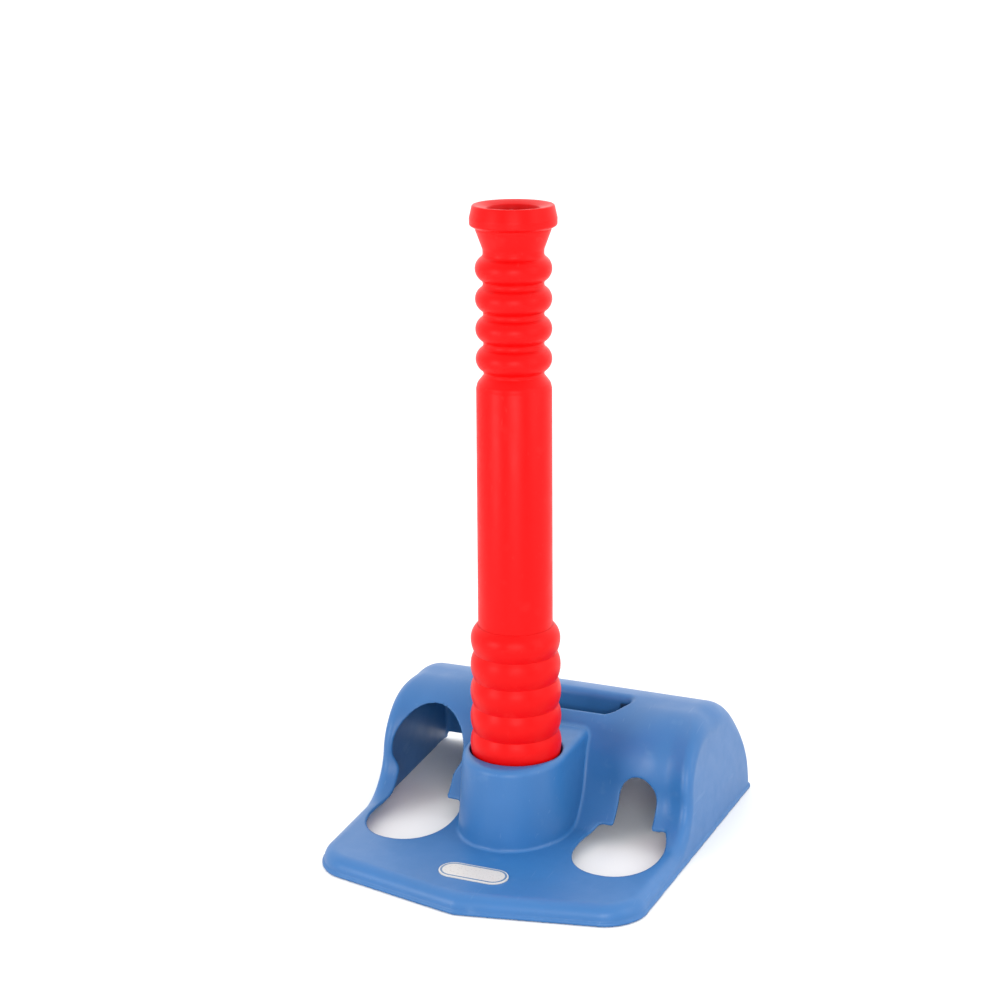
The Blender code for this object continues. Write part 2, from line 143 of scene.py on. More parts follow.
HOLE_X = 0.0898           # from the middle of the base
HOLE_Y = -0.0165
HOLE_HALF_X = 0.0346
HOLE_HALF_Y = 0.0455
HOLE_REAR_Y = 0.0175
HOLE_REAR_STRETCH = 1.15
HOLE_REAR_R = 0.002       # its corners at the rear
HOLE_POWER = 2.2          # 2 would make it an ellipse
ARCHES = {                # x from the post's axis, half width, spring, rise, toe
    "left": (-0.0935, 0.0298, 0.050, 0.0372, 0.0062),
    "right": (0.0935, 0.0172, 0.034, 0.0213, 0.0010),
}
ARCH_TOE_Z = (0.031, 0.048)       # its toe narrows it below the first, and fades out by the second
ARCH_FOOT_R = 0.0015      # the corner between an arch and its hole
ARCH_DEPTH = 0.010        # how far an arch's cut starts before the hole's rear edge
RIM_R = 0.0011            # edges of the openings
RELIEF_HALF_LENGTH = 0.140  # the notch under the rear wall
RELIEF_SLANT = 0.4
RELIEF_HEIGHT = 0.007
RELIEF_Y = 0.150

# --- the post -----------------------------------------------------------------
POST_WALL = 0.0026
POST_ROUND = 0.002        # its plain corners
END_ROUND = 0.0008        # and its cut ends
SEGMENTS = 160            # round the post
ARC_STEP = math.radians(7)
CREASE = math.radians(50)
TUBE_TOP_R = 0.0292
TUBE_FOOT_R = 0.0297
RING_PITCH = 0.0231
RING_COUNT = 4
NECK_FOOT_Z = 0.3905      # the neck's lowest valley
RING_CREST_R = 0.0293
RING_VALLEY_R = 0.0233
RING_VALLEY_ROUND = 0.0036
TUBE_BEAD_R = 0.0302
TUBE_BEAD_Z = 0.1095
TUBE_BEAD_INSET = 0.0001  # the tube beside the bead is this much slimmer
TUBE_END_TAPER = 0.0004
BEAD_HALF = (0.0025, 0.0055)      # half a bead's height at its crest and at its root
INNER_SHOULDER = (0.0120, 0.0040)  # the bore narrows between these, down from the neck's foot
SHOULDER = (              # radius, down from the neck's foot, rounding
    (RING_VALLEY_R, 0.0, 0.0),
    (RING_VALLEY_R, 0.0010, 0.0025),
    (0.0282, 0.0072, 0.0060),
    (TUBE_TOP_R - 0.0002, 0.0108, 0.0),
    (TUBE_TOP_R, 0.0112, 0.0),
)
SEAT_R = 0.0200
SEAT_DIP = 0.0025
SEAT_EDGE = 0.0006
DISH_R = 0.0285           # the dished seat's outer edge, and how far it is below the rim
DISH_DROP = 0.0002
FLANGE_TOP_R = 0.0310
FLANGE = (                # in from its widest, down from the rim, rounding
    (0.0, 0.0100, 0.0040),
    (0.0001, 0.0152, 0.0020),
    (0.0035, 0.0172, 0.0006),
    (0.0042, 0.0166, 0.0003),
    (0.0046, 0.0190, 0.0020),
)
NECK_FLARE = (            # wider than a valley by, up from the top valley, rounding
    (0.0001, 0.0032, 0.0060),
    (0.0, 0.0004, 0.0),
)
THROAT_BELL = (0.0030, 0.0120)    # wider than the seat by, up from the top valley
THROAT_FOOT = 0.0010      # it starts this far above the top valley,
THROAT_DOWN = 0.0100      # and is straight from here up, down from the rim
THROAT_ROUND = 0.004

SLEEVE_CREST_R = (0.0357, 0.0360, 0.0363, 0.0365, 0.0367)
SLEEVE_VALLEY_R = (0.0330, 0.0335, 0.0340, 0.0341)
SLEEVE_TOP_CREST_Z = 0.1758
SLEEVE_PITCH = 0.0222
SLEEVE_VALLEY_ROUND = 0.0010
SLEEVE_MOUTH_R = 0.0299
SPIGOT_R = 0.0352
SPIGOT_BEAD_R = 0.0366
SPIGOT_BEAD_Z = 0.0115
LEDGE_R = 0.0260
SPIGOT_SHOULDER = (0.0008, 0.0040, 0.0060)  # wider than it by, up from its top, rounding
SPIGOT_TAPER = 0.0010
LIP_STEPS = 16
LIP_FOOT = 0.0002         # the lip's inside starts this far above the top crest
LIP_HOLLOW = (0.0006, 0.0040, 0.0030)   # in from the wall, up from the top crest, rounding
MOUTH_LAND = (0.0028, 0.0003)     # the straight part of the mouth, down from the lip

# --- the camera, and the finishes ------------------------------------------------
CAMERA_AT = (0.5639, -1.3873, 0.7262)
CAMERA_YAW = 22.56
CAMERA_PITCH = 16.26
CAMERA_ROLL = -0.44
CAMERA_LENS = 72.1
CAMERA_SENSOR = 36.0
BLUE = (0.022, 0.127, 0.340)
BLUE_SCUFF = (0.22, 0.34, 0.52)
RED = (0.640, 0.0010, 0.0014)
RED_SCUFF = (0.95, 0.10, 0.09)
WHITE = (0.520, 0.507, 0.488)
KEYLINE = (0.100, 0.180, 0.300)
KEYLINE_INSET = (0.0012, 0.0028)  # its outer and inner edge, from the label's edge
KEYLINE_BLUR = 0.0001
NOISE_SPAN = (0.3, 0.7)   # nearly all of a noise's values
SCUFF_SPAN = (0.62, 0.74)         # a scuff shows only where its noise is this high,
SCRATCH_SPAN = (0.69, 0.74)       # and a scratch
SOFT_DEPTH = 0.004        # how far light spreads inside the plastic
LABEL_SINK = 0.0001       # the film's edge runs down to the plate
LABEL_EDGE = 0.6          # the rounding of its top edge, as a share of its thickness
LABEL_EDGE_STEPS = 5
LABEL_END_STEPS = 24
LABEL_CREASE = math.radians(40)
BRIGHT_SIDE = (-0.10, 0.78, 0.60)
DOME = (0.34, 1.80)       # its strength on the dimmest and the brightest side
DOME_REACH = 0.9          # cosine at which those strengths are reached
SOFTBOXES = {             # place, aimed at, size, watts
    "left_softbox": ((-1.15, -1.65, 0.60), (0.0, 0.0, 0.15), (0.5, 0.6), 13.0),
    "front_softbox": ((0.75, -1.75, 0.70), (0.0, 0.05, 0.08), (0.7, 0.5), 15.0),
    "right_softbox": ((1.9, -0.2, 0.9), (0.0, 0.0, 0.25), (0.9, 1.3), 8.0),
}
FLOOR_HALF_SIZE = 80.0
FLOOR_GREY = 0.86
FLOOR_ROUGHNESS = 0.8
FLOOR_DROP = 0.0003       # just clear of the base's foot


# --- fields ---------------------------------------------------------------------
def ramp(value, span):
    """0 below the span, 1 above it, and a smooth step between."""
    low, high = span
    t = np.clip((value - low) / (high - low), 0.0, 1.0)
    return t * t * (3.0 - 2.0 * t)


def mix(a, b, share):
    return a + (b - a) * share


def convex(a, b, radius):
    """The space inside both fields, with this radius on the edge between them."""
    inner = np.minimum(np.maximum(a, b), -radius)
    return inner + np.hypot(np.maximum(a + radius, 0.0), np.maximum(b + radius, 0.0))


def concave(a, b, radius):
    """The space inside either field, with this radius in the corner between them."""
    outer = np.maximum(np.minimum(a, b), radius)
    return outer - np.hypot(np.maximum(radius - a, 0.0), np.maximum(radius - b, 0.0))


def quarter(u, v, a, b):
    """A quarter ellipse with half axes a and b, level and upright beyond its centre."""
    u = np.maximum(u, 0.0)
    v = np.maximum(v, 0.0)
    k0 = np.hypot(u / a, v / b)
    k1 = np.hypot(u / a ** 2, v / b ** 2) + TINY
    return np.where(k0 > 1e-6, k0 * (k0 - 1.0) / k1, -b)


def walls(x, y, z, inset):
    """The upright walls at the sides and the front, this far inside the foot's outline."""
    side = np.abs(x) - HALF_WIDTH - WIDTH_PER_DEPTH * y + WIDTH_PER_HEIGHT * z
    across = np.hypot(x, NOSE_R) - NOSE_R
    front = (NOSE_Y + NOSE_SLOPE * across - y) / math.hypot(1.0, NOSE_SLOPE)
    return convex(side + inset, front + inset + WIDTH_PER_HEIGHT * z, CORNER_R)


def hump_face(x, y, z):
    """The hump's front: a full curve at the sides, cut back by a slope behind the tower."""
    face = FACE_Y - HORN * ramp(np.abs(x), HORN_X)
    spring = PLATE_TOP + SWEEP_R
    full = quarter(CREST_FRONT_Y - y, z - spring, CREST_FRONT_Y - face, CREST_Z - spring)
    run = SCOOP_HEAD[0] - SCOOP_FOOT[0]
    rise = SCOOP_HEAD[1] - SCOOP_FOOT[1]
    slope = ((z - SCOOP_FOOT[1]) * run - (y - SCOOP_FOOT[0]) * rise) / math.hypot(run, rise)
    upright = convex(FACE_Y - y, z - CREST_Z, SCOOP_CREST_R)
    scooped = convex(upright, slope, SCOOP_FOOT_R)
    return mix(scooped, full, ramp(np.abs(x), SCOOP_X))


def body(x, y, z):
    """The plate and the hump as a solid, standing on the small flange at its foot."""
    sagged = z + CREST_DROP * ramp(np.abs(x), (0.0, HALF_WIDTH)) * ramp(z, CREST_DROP_Z)
    top = concave(z - PLATE_TOP, hump_face(x, y, sagged), SWEEP_R)
    rear = quarter(y - CREST_REAR_Y, sagged - REAR_AXIS_Z,
                   REAR_FOOT_Y - FLANGE_WIDTH - CREST_REAR_Y, CREST_Z - REAR_AXIS_Z)
    low = mix(EDGE_R, FOOT_CORNER_R, ramp(y, EDGE_BLEND_Y))
    high = mix(RIDGE_R, END_R, ramp(y, RIDGE_BLEND_Y))
    radius = mix(low, high, ramp(z, EDGE_BLEND_Z))
    form = convex(np.maximum(top, rear), walls(x, y, z, FLANGE_WIDTH), radius)
    outline = convex(walls(x, y, z, 0.0), y - REAR_FOOT_Y, FOOT_CORNER_R)
    flange = convex(outline, z - FLANGE_HEIGHT, FLANGE_EDGE_R)
    return concave(form, flange, FLANGE_FILLET)


def tower(x, y, z):
    """The socket tower: rounded in front, with straight sides back into the hump."""
    side = mix(TOWER_FOOT_R, TOWER_HEAD_R, z / TOWER_TOP)
    plan = quarter(np.abs(x), -y, side, side * TOWER_FRONT_STRETCH)
    return np.maximum(convex(plan, z - TOWER_TOP, TOWER_EDGE_R), y - TOWER_REAR_Y)


def slot_plan(x, y):
    """The slot seen from above."""
    along = np.abs(x - BASE_X) - SLOT_HALF_LENGTH
    across = y - SLOT_Y
    front_corner, rear_corner = SLOT_CORNER_R
    plan = convex(along, -across - SLOT_HALF_WIDTH, front_corner)
    return convex(plan, across - SLOT_HALF_WIDTH, rear_corner)


def slot_pocket(x, y, z):
    """The slot down to the foot of the lip that turns down round it."""
    end = mix(*SLOT_END_LIP, ramp(y, SLOT_LIP_Y))
    depth = mix(SLOT_LIP, end, ramp(np.abs(x - BASE_X), SLOT_LIP_X))
    return np.maximum(slot_plan(x, y), CREST_Z - depth - z)


def outside(x, y, z):
    """The base's outer surface, with the slot and the socket as pockets in it."""
    form = concave(body(x - BASE_X, y, z), tower(x, y, z), TOWER_FILLET)
    form = convex(form, -slot_pocket(x, y, z), mix(*SLOT_RIM_R, ramp(y, SLOT_RIM_Y)))
    bore = np.maximum(np.hypot(x, y) - SOCKET_R, SOCKET_FLOOR - z)
    return convex(form, -bore, SOCKET_RIM_R)


def plate_hole(x, y, z):
    """The opening in the plate, full in front and cut straight at the rear."""
    dx = np.abs(np.abs(x) - HOLE_X) / HOLE_HALF_X
    dy = y - HOLE_Y
    dy = np.abs(np.where(dy > 0.0, dy / HOLE_REAR_STRETCH, dy)) / HOLE_HALF_Y
    k = (dx ** HOLE_POWER + dy ** HOLE_POWER) ** (1.0 / HOLE_POWER) + TINY
    slope = HOLE_POWER - 1.0
    steep = np.hypot((dx / k) ** slope / HOLE_HALF_X, (dy / k) ** slope / HOLE_HALF_Y)
    plan = (k - 1.0) / np.maximum(steep, 1.0)
    plan = convex(plan, y - HOLE_REAR_Y, HOLE_REAR_R)
    return np.maximum(plan, z - PLATE_TOP - SWEEP_R)


def arch(x, y, z, centre, half_width, spring, rise, toe):
    """An arch through the hump's face: upright to its spring, elliptical above."""
    narrowed = np.abs(x - centre) + toe * (1.0 - ramp(z, ARCH_TOE_Z))
    opening = quarter(narrowed, z - spring, half_width, rise)
    return np.maximum(opening, np.maximum(HOLE_REAR_Y - ARCH_DEPTH - y, y - CREST_FRONT_Y))


def openings(x, y, z):
    """The plate's openings, the arches behind them, and the notch at the rear."""
    cut = plate_hole(x - BASE_X, y, z)
    for shape in ARCHES.values():
        cut = concave(cut, arch(x, y, z, *shape), ARCH_FOOT_R)
    slanted = np.abs(x - BASE_X) - RELIEF_HALF_LENGTH - RELIEF_SLANT * (RELIEF_HEIGHT - z)
    relief = np.maximum(np.maximum(slanted, z - RELIEF_HEIGHT), RELIEF_Y - y)
    return np.minimum(cut, relief)


def ribs(x, y, z, form):
    """Upright ribs under the plate, between the socket and the front wall."""
    across = np.abs(x - RIB_SPACING * np.clip(np.round(x / RIB_SPACING), -1, 1)) - RIB_WIDTH / 2
    limits = np.maximum(RIB_WIDTH - z, z - PLATE_TOP + WALL / 2)
    return np.maximum(np.maximum(across, limits), np.maximum(form + WALL / 2, y))


def base_field(x, y, z):
    """The whole moulded shell: negative inside the plastic."""
    form = outside(x, y, z)
    shell = np.maximum(form, -(form + WALL))
    shell = concave(shell, ribs(x, y, z, form), RIB_FILLET)
    through = np.maximum(slot_plan(x, y), SLOT_FLOOR_Z - z)
    shell = np.maximum(shell, -through)
    shell = convex(shell, -openings(x, y, z), RIM_R)
    return convex(shell, -z, FOOT_EDGE_R)


# --- meshing ---------------------------------------------------------------------
CORNERS = tuple((i, j, k) for i in (0, 1) for j in (0, 1) for k in (0, 1))


def sample(field, axes, thickness=16):
    """The field on a grid, a few layers at a time."""
    layers = []
    for start in range(0, len(axes[0]), thickness):
        grid = np.meshgrid(axes[0][start:start + thickness], axes[1], axes[2], indexing="ij")
        layers.append(field(*grid).astype(np.float32))
    return np.concatenate(layers)


def crossings(values, cells):
    """For each mixed cell, the mean of the points where its edges cross the surface."""
    corner = {}
    for i, j, k in CORNERS:
        corner[i, j, k] = values[cells[:, 0] + i, cells[:, 1] + j, cells[:, 2] + k]
    total = np.zeros((len(cells), 3))
    count = np.zeros(len(cells))
    for first in corner:
        for axis in range(3):
            if first[axis]:
                continue
            second = tuple(1 if n == axis else first[n] for n in range(3))
            a = corner[first]
            b = corner[second]
            cut = (a < 0.0) != (b < 0.0)
            share = np.where(cut, a / np.where(cut, a - b, 1.0), 0.0)
            point = np.tile(np.array(first, float), (len(cells), 1))
            point[:, axis] = share
            total += point * cut[:, None]
            count += cut
    return total / count[:, None]


def net_faces(inside, number):
    """A quad across each grid edge that the surface crosses, facing outwards."""
    faces = []
    for axis in range(3):
        others = [n for n in range(3) if n != axis]
        low = np.take(inside, range(inside.shape[axis] - 1), axis=axis)
        high = np.take(inside, range(1, inside.shape[axis]), axis=axis)
        cut = low != high
        edges = np.argwhere(cut)
        edges = edges[(edges[:, others] > 0).all(axis=1)]
        leaving = low[tuple(edges.T)]
        ring = []
        for da, db in ((1, 1), (0, 1), (0, 0), (1, 0)):
            cell = edges.copy()
            cell[:, others[0]] -= da
            cell[:, others[1]] -= db
            ring.append(number[tuple(cell.T)])
        quads = np.stack(ring, axis=1)
        turn = leaving if axis == 1 else ~leaving
        quads[turn] = quads[turn][:, ::-1]
        faces.append(quads)
    return np.concatenate(faces)


def gradient(field, points, step=0.0001):
    """The field's slope at each point, from differences of this step each way."""
    slopes = []
    for axis in range(3):
        shift = np.zeros(3)
        shift[axis] = step
        slopes.append((field(*(points + shift).T) - field(*(points - shift).T)) / (2.0 * step))
    return np.stack(slopes, axis=1)


def surface_net(field, low, high, cell):
    """Vertices and quads of the field's zero surface, moved onto it exactly."""
    axes = [np.arange(low[n] - 2.0 * cell, high[n] + 2.5 * cell, cell) for n in range(3)]
    values = sample(field, axes)
    inside = values < 0.0
    filled = np.zeros(tuple(n - 1 for n in values.shape), np.int8)
    for i, j, k in CORNERS:
        filled += inside[i:i + filled.shape[0], j:j + filled.shape[1], k:k + filled.shape[2]]
    cells = np.argwhere((filled > 0) & (filled < 8))
    number = np.full(filled.shape, -1, np.int64)
    number[tuple(cells.T)] = np.arange(len(cells))
    points = np.array([axis[0] for axis in axes]) + cell * (cells + crossings(values, cells))
    for _ in range(PULLS):
        slope = gradient(field, points)
        length = (slope ** 2).sum(axis=1)
        reach = field(*points.T) / np.maximum(length, LEAST_SLOPE)
        move = slope * reach[:, None]
        far = np.maximum(np.linalg.norm(move, axis=1) / (LONGEST_PULL * cell), 1.0)
        points -= move / far[:, None]
    return points, net_faces(inside, number)


def new_mesh_object(name, points, faces):
    """A smooth-shaded mesh object in the scene."""
    mesh = bpy.data.meshes.new(name)
    mesh.from_pydata([tuple(p) for p in points], [], [tuple(f) for f in faces])
    mesh.validate()
    obj = bpy.data.objects.new(name, mesh)
    bpy.context.scene.collection.objects.link(obj)
    mesh.shade_smooth()
    return obj


# --- turned pieces -----------------------------------------------------------------
def rounded(corners):
    """A profile through (r, z, radius) corners, each one rounded by its radius."""
    points = []
    for i, (r, z, radius) in enumerate(corners):
        here = Vector((r, z))
        if radius <= 0.0 or i in (0, len(corners) - 1):
            points.append((r, z))
            continue
        back = Vector(corners[i - 1][:2]) - here
        on = Vector(corners[i + 1][:2]) - here
        half = back.angle(on) / 2.0
        reach = min(radius / math.tan(half), 0.49 * back.length, 0.49 * on.length)
        bend = reach * math.tan(half)
        centre = here + (back.normalized() + on.normalized()).normalized() * (bend / math.sin(half))
        start = here + back.normalized() * reach - centre
        end = here + on.normalized() * reach - centre
        swing = start.angle_signed(end)
        steps = max(2, math.ceil(abs(swing) / ARC_STEP))
        for k in range(steps + 1):
            turned = Matrix.Rotation(-swing * k / steps, 2) @ start
            points.append(tuple(centre + turned))
    return points


def half_wave(crest, valley, valley_round):
    """From a crest (r, z) to the valley below or above it: two arcs that share a tangent."""
    depth = crest[0] - valley[0]
    run = abs(valley[1] - crest[1])
    way = math.copysign(1.0, valley[1] - crest[1])
    tilt = 2.0 * math.atan2(depth, run)
    crest_round = run / math.sin(tilt) - valley_round
    points = []
    steps = max(3, math.ceil(tilt / ARC_STEP))
    for k in range(steps + 1):
        angle = tilt * k / steps
        points.append((crest[0] - crest_round * (1.0 - math.cos(angle)),
                       crest[1] + way * crest_round * math.sin(angle)))
    for k in range(1, steps + 1):
        angle = tilt * (1.0 - k / steps)
        points.append((valley[0] + valley_round * (1.0 - math.cos(angle)),
                       valley[1] - way * valley_round * math.sin(angle)))
    return points


def thinned(profile, wall):
    """The same profile one wall further in, run the other way."""
    return [(r - wall, z) for r, z in reversed(profile)]


def turned_piece(name, profile):
    """Turns a closed profile about Z; its outer side runs down."""
    points = []
    for s in range(SEGMENTS):
        angle = 2.0 * math.pi * s / SEGMENTS
        points += [(r * math.cos(angle), r * math.sin(angle), z) for r, z in profile]
    count = len(profile)
    faces = []
    for s in range(SEGMENTS):
        here = s * count
        there = (s + 1) % SEGMENTS * count
        for i in range(count):
            j = (i + 1) % count
            faces.append((here + i, here + j, there + j, there + i))
    obj = new_mesh_object(name, points, faces)
    obj.data.set_sharp_from_angle(angle=CREASE)
    return obj


def neck():
    """The neck's corrugations, from its top valley down to its lowest one."""
    points = []
    for i in range(RING_COUNT):
        crest_z = NECK_FOOT_Z + RING_PITCH * (RING_COUNT - i - 0.5)
        crest = (RING_CREST_R, crest_z)
        above = half_wave(crest, (RING_VALLEY_R, crest_z + RING_PITCH / 2), RING_VALLEY_ROUND)
        below = half_wave(crest, (RING_VALLEY_R, crest_z - RING_PITCH / 2), RING_VALLEY_ROUND)
        points += list(reversed(above))[:-1] + below[:-1]
    return points


def bead(root_r, crest_r, z, foot_round):
    """A raised band round the post, from its upper root down to its lower one."""
    crest, root = BEAD_HALF
    return [
        (root_r, z + root, POST_ROUND),
        (crest_r, z + crest, POST_ROUND),
        (crest_r, z - crest, POST_ROUND),
        (root_r, z - root, foot_round),
    ]


def tube_profile():
    """The upper tube: flange, neck, shoulder and bead, then back up inside it."""
    neck_top = NECK_FOOT_Z + RING_PITCH * RING_COUNT
    seat = RIM_Z - SEAT_DIP
    seat_edge = [
        (SEAT_R + SEAT_EDGE, seat, 0.0),
        (DISH_R, RIM_Z - DISH_DROP, 0.0030),
        (FLANGE_TOP_R, RIM_Z, 0.0022),
    ]
    flange = [(FLANGE_R - inward, RIM_Z - down, radius) for inward, down, radius in FLANGE]
    flare = [(RING_VALLEY_R + wider, neck_top + up, radius) for wider, up, radius in NECK_FLARE]
    outer_neck = neck()
    shoulder = [(r, NECK_FOOT_Z - down, radius) for r, down, radius in SHOULDER]
    bore_r = TUBE_FOOT_R - POST_WALL
    neck_bore_r = RING_VALLEY_R - POST_WALL
    low, high = INNER_SHOULDER
    foot = [(TUBE_FOOT_R, SLEEVE_TOP_CREST_Z, 0.0)]
    foot += bead(TUBE_FOOT_R - TUBE_BEAD_INSET, TUBE_BEAD_R, TUBE_BEAD_Z, POST_ROUND)
    foot += [
        (TUBE_FOOT_R - TUBE_END_TAPER, TUBE_END_Z, END_ROUND),
        (bore_r, TUBE_END_Z, END_ROUND),
        (bore_r, NECK_FOOT_Z - low, 2.0 * POST_ROUND),
        (neck_bore_r, NECK_FOOT_Z - high, POST_ROUND),
        (neck_bore_r, NECK_FOOT_Z, 0.0),
    ]
    inner_neck = thinned(outer_neck, POST_WALL)
    bell, bell_up = THROAT_BELL
    throat = rounded([
        (neck_bore_r, neck_top + THROAT_FOOT, 0.0),
        (SEAT_R + bell, neck_top + bell_up, THROAT_ROUND),
        (SEAT_R, RIM_Z - THROAT_DOWN, THROAT_ROUND),
        (SEAT_R, seat - SEAT_EDGE, 0.0),
    ])
    head = rounded(seat_edge + flange + flare)
    return head + outer_neck + rounded(shoulder + foot) + inner_neck[1:] + throat


def sleeve_waves():
    """The sleeve's corrugations, from its top crest down to its lowest one."""
    points = []
    for i, valley_r in enumerate(SLEEVE_VALLEY_R):
        crest_z = SLEEVE_TOP_CREST_Z - i * SLEEVE_PITCH
        valley = (valley_r, crest_z - SLEEVE_PITCH / 2)
        above = (SLEEVE_CREST_R[i], crest_z)
        below = (SLEEVE_CREST_R[i + 1], crest_z - SLEEVE_PITCH)
        points += half_wave(above, valley, SLEEVE_VALLEY_ROUND)[:-1]
        points += list(reversed(half_wave(below, valley, SLEEVE_VALLEY_ROUND)))[:-1]
    return points


def sleeve_lip():
    """One arc from the mouth's edge out and down towards the top crest."""
    crest = SLEEVE_CREST_R[0]
    rise = LIP_Z - SLEEVE_TOP_CREST_Z
    depth = crest - SLEEVE_MOUTH_R
    lip_round = (depth ** 2 + rise ** 2) / (2.0 * depth)
    points = []
    for k in range(LIP_STEPS):
        angle = math.asin(rise / lip_round) * (1.0 - k / LIP_STEPS)
        points.append((crest - lip_round * (1.0 - math.cos(angle)),
                       SLEEVE_TOP_CREST_Z + lip_round * math.sin(angle)))
    return points


def sleeve_profile():
    """The sleeve: lip, corrugations and spigot, then back up inside it."""
    last_z = SLEEVE_TOP_CREST_Z - len(SLEEVE_VALLEY_R) * SLEEVE_PITCH
    spigot_top = last_z - SLEEVE_PITCH / 2
    waves = sleeve_waves()
    wider, up, shoulder_round = SPIGOT_SHOULDER
    foot = [
        (SLEEVE_CREST_R[-1], last_z, 0.0),
        (SPIGOT_R + wider, spigot_top + up, shoulder_round),
        (SPIGOT_R, spigot_top, POST_ROUND),
    ]
    foot += bead(SPIGOT_R, SPIGOT_BEAD_R, SPIGOT_BEAD_Z, POST_ROUND / 2.0)
    foot += [
        (SPIGOT_R - SPIGOT_TAPER, SPIGOT_FOOT_Z, END_ROUND),
        (LEDGE_R, SPIGOT_FOOT_Z, END_ROUND),
        (LEDGE_R, SPIGOT_FOOT_Z + POST_WALL, END_ROUND),
        (SPIGOT_R - POST_WALL, SPIGOT_FOOT_Z + POST_WALL, POST_ROUND),
        (SPIGOT_R - POST_WALL, spigot_top, POST_ROUND),
        (SLEEVE_CREST_R[-1] - POST_WALL, last_z, 0.0),
    ]
    inner = thinned(waves, POST_WALL)
    inner_crest = SLEEVE_CREST_R[0] - POST_WALL
    inward, hollow_up, hollow_round = LIP_HOLLOW
    land_foot, land_top = MOUTH_LAND
    mouth = rounded([
        (inner_crest, SLEEVE_TOP_CREST_Z + LIP_FOOT, 0.0),
        (inner_crest - inward, SLEEVE_TOP_CREST_Z + hollow_up, hollow_round),
        (SLEEVE_MOUTH_R, LIP_Z - land_foot, POST_ROUND / 2.0),
        (SLEEVE_MOUTH_R, LIP_Z - land_top, 0.0),
    ])
    return sleeve_lip() + waves + rounded(foot) + inner + mouth


# --- materials ------------------------------------------------------------------------
MAP_KEYS = ("From Min", "From Max", "To Min", "To Max")


class Nodes:
    """A material's node tree, with short ways to add to it."""

    def __init__(self, name):
        self.material = bpy.data.materials.new(name)
        self.material.use_nodes = True
        self.tree = self.material.node_tree
        self.shader = self.tree.nodes["Principled BSDF"]
        self.coords = self.add("ShaderNodeTexCoord").outputs["Object"]

    def add(self, kind, **settings):
        node = self.tree.nodes.new(kind)
        for key, value in settings.items():
            setattr(node, key, value)
        return node

    def link(self, source, target):
        self.tree.links.new(source, target)

    def scaled(self, scale):
        mapping = self.add("ShaderNodeMapping")
        mapping.inputs["Scale"].default_value = scale
        self.link(self.coords, mapping.inputs["Vector"])
        return mapping.outputs["Vector"]

    def noise(self, scale, detail=3.0, stretch=(1.0, 1.0, 1.0)):
        node = self.add("ShaderNodeTexNoise")
        node.inputs["Scale"].default_value = scale
        node.inputs["Detail"].default_value = detail
        self.link(self.scaled(stretch), node.inputs["Vector"])
        return node.outputs["Fac"]

    def spread(self, value, low, high, to_low, to_high):
        """Maps low..high on to_low..to_high, and holds it there outside."""
        node = self.add("ShaderNodeMapRange")
        for key, number in zip(MAP_KEYS, (low, high, to_low, to_high)):
            node.inputs[key].default_value = number
        self.link(value, node.inputs["Value"])
        return node.outputs["Result"]

    def math(self, operation, a, b):
        node = self.add("ShaderNodeMath", operation=operation)
        for socket, value in zip(node.inputs, (a, b)):
            if isinstance(value, (int, float)):
                socket.default_value = value
            else:
                self.link(value, socket)
        return node.outputs[0]

    def blend(self, share, a, b):
        node = self.add("ShaderNodeMix", data_type="RGBA")
        for key, value in zip(("Factor", "A", "B"), (share, a, b)):
            socket = node.inputs[key]
            if isinstance(value, tuple):
                socket.default_value = (*value, 1.0)
            elif isinstance(value, (int, float)):
                socket.default_value = value
            else:
                self.link(value, socket)
        return node.outputs["Result"]

    def bump(self, height, distance, strength=1.0, below=None):
        node = self.add("ShaderNodeBump")
        node.inputs["Distance"].default_value = distance
        node.inputs["Strength"].default_value = strength
        self.link(height, node.inputs["Height"])
        if below:
            self.link(below, node.inputs["Normal"])
        return node.outputs["Normal"]


def shade(colour, factor):
    return tuple(min(c * factor, 1.0) for c in colour)


def moulded_plastic(name, colour, scuff_colour, scuffing, roughness, shine):
    """Satin moulded plastic: flow marks, a fine skin, and light scuffs and scratches.

    A noise's scale is its number of waves per metre.
    """
    n = Nodes(name)
    flow = n.noise(9.0, 2.0)
    mottle = n.noise(70.0, 4.0)
    skin = n.noise(1400.0, 2.0)
    ripple = n.noise(38.0, 2.0)
    scratch = n.noise(420.0, 2.0, (1.0, 0.05, 0.3))
    scuff = n.spread(n.noise(55.0, 8.0), *SCUFF_SPAN, 0.0, 1.0)
    worn = n.spread(scratch, *SCRATCH_SPAN, 0.0, 1.0)
    deep = n.blend(n.spread(flow, *NOISE_SPAN, 0.0, 1.0), shade(colour, 0.93), shade(colour, 1.06))
    tint = n.blend(n.spread(mottle, 0.35, 0.65, 0.0, 0.35), deep, shade(colour, 0.94))
    marks = n.math("MULTIPLY", n.math("MAXIMUM", scuff, worn), scuffing)
    n.link(n.blend(marks, tint, scuff_colour), n.shader.inputs["Base Color"])
    rough = n.spread(mottle, *NOISE_SPAN, roughness - 0.03, roughness + 0.04)
    n.link(n.math("ADD", rough, n.math("MULTIPLY", scuff, 0.08)), n.shader.inputs["Roughness"])
    wavy = n.bump(ripple, 0.0006, 0.35)
    skinned = n.bump(skin, 0.00006, 0.55, wavy)
    n.link(n.bump(worn, 0.00006, 0.5, skinned), n.shader.inputs["Normal"])
    n.shader.inputs["Specular IOR Level"].default_value = shine
    n.shader.inputs["Subsurface Weight"].default_value = 0.06
    n.shader.inputs["Subsurface Radius"].default_value = (SOFT_DEPTH, SOFT_DEPTH, SOFT_DEPTH)
    n.shader.inputs["Subsurface Scale"].default_value = 1.0
    return n.material


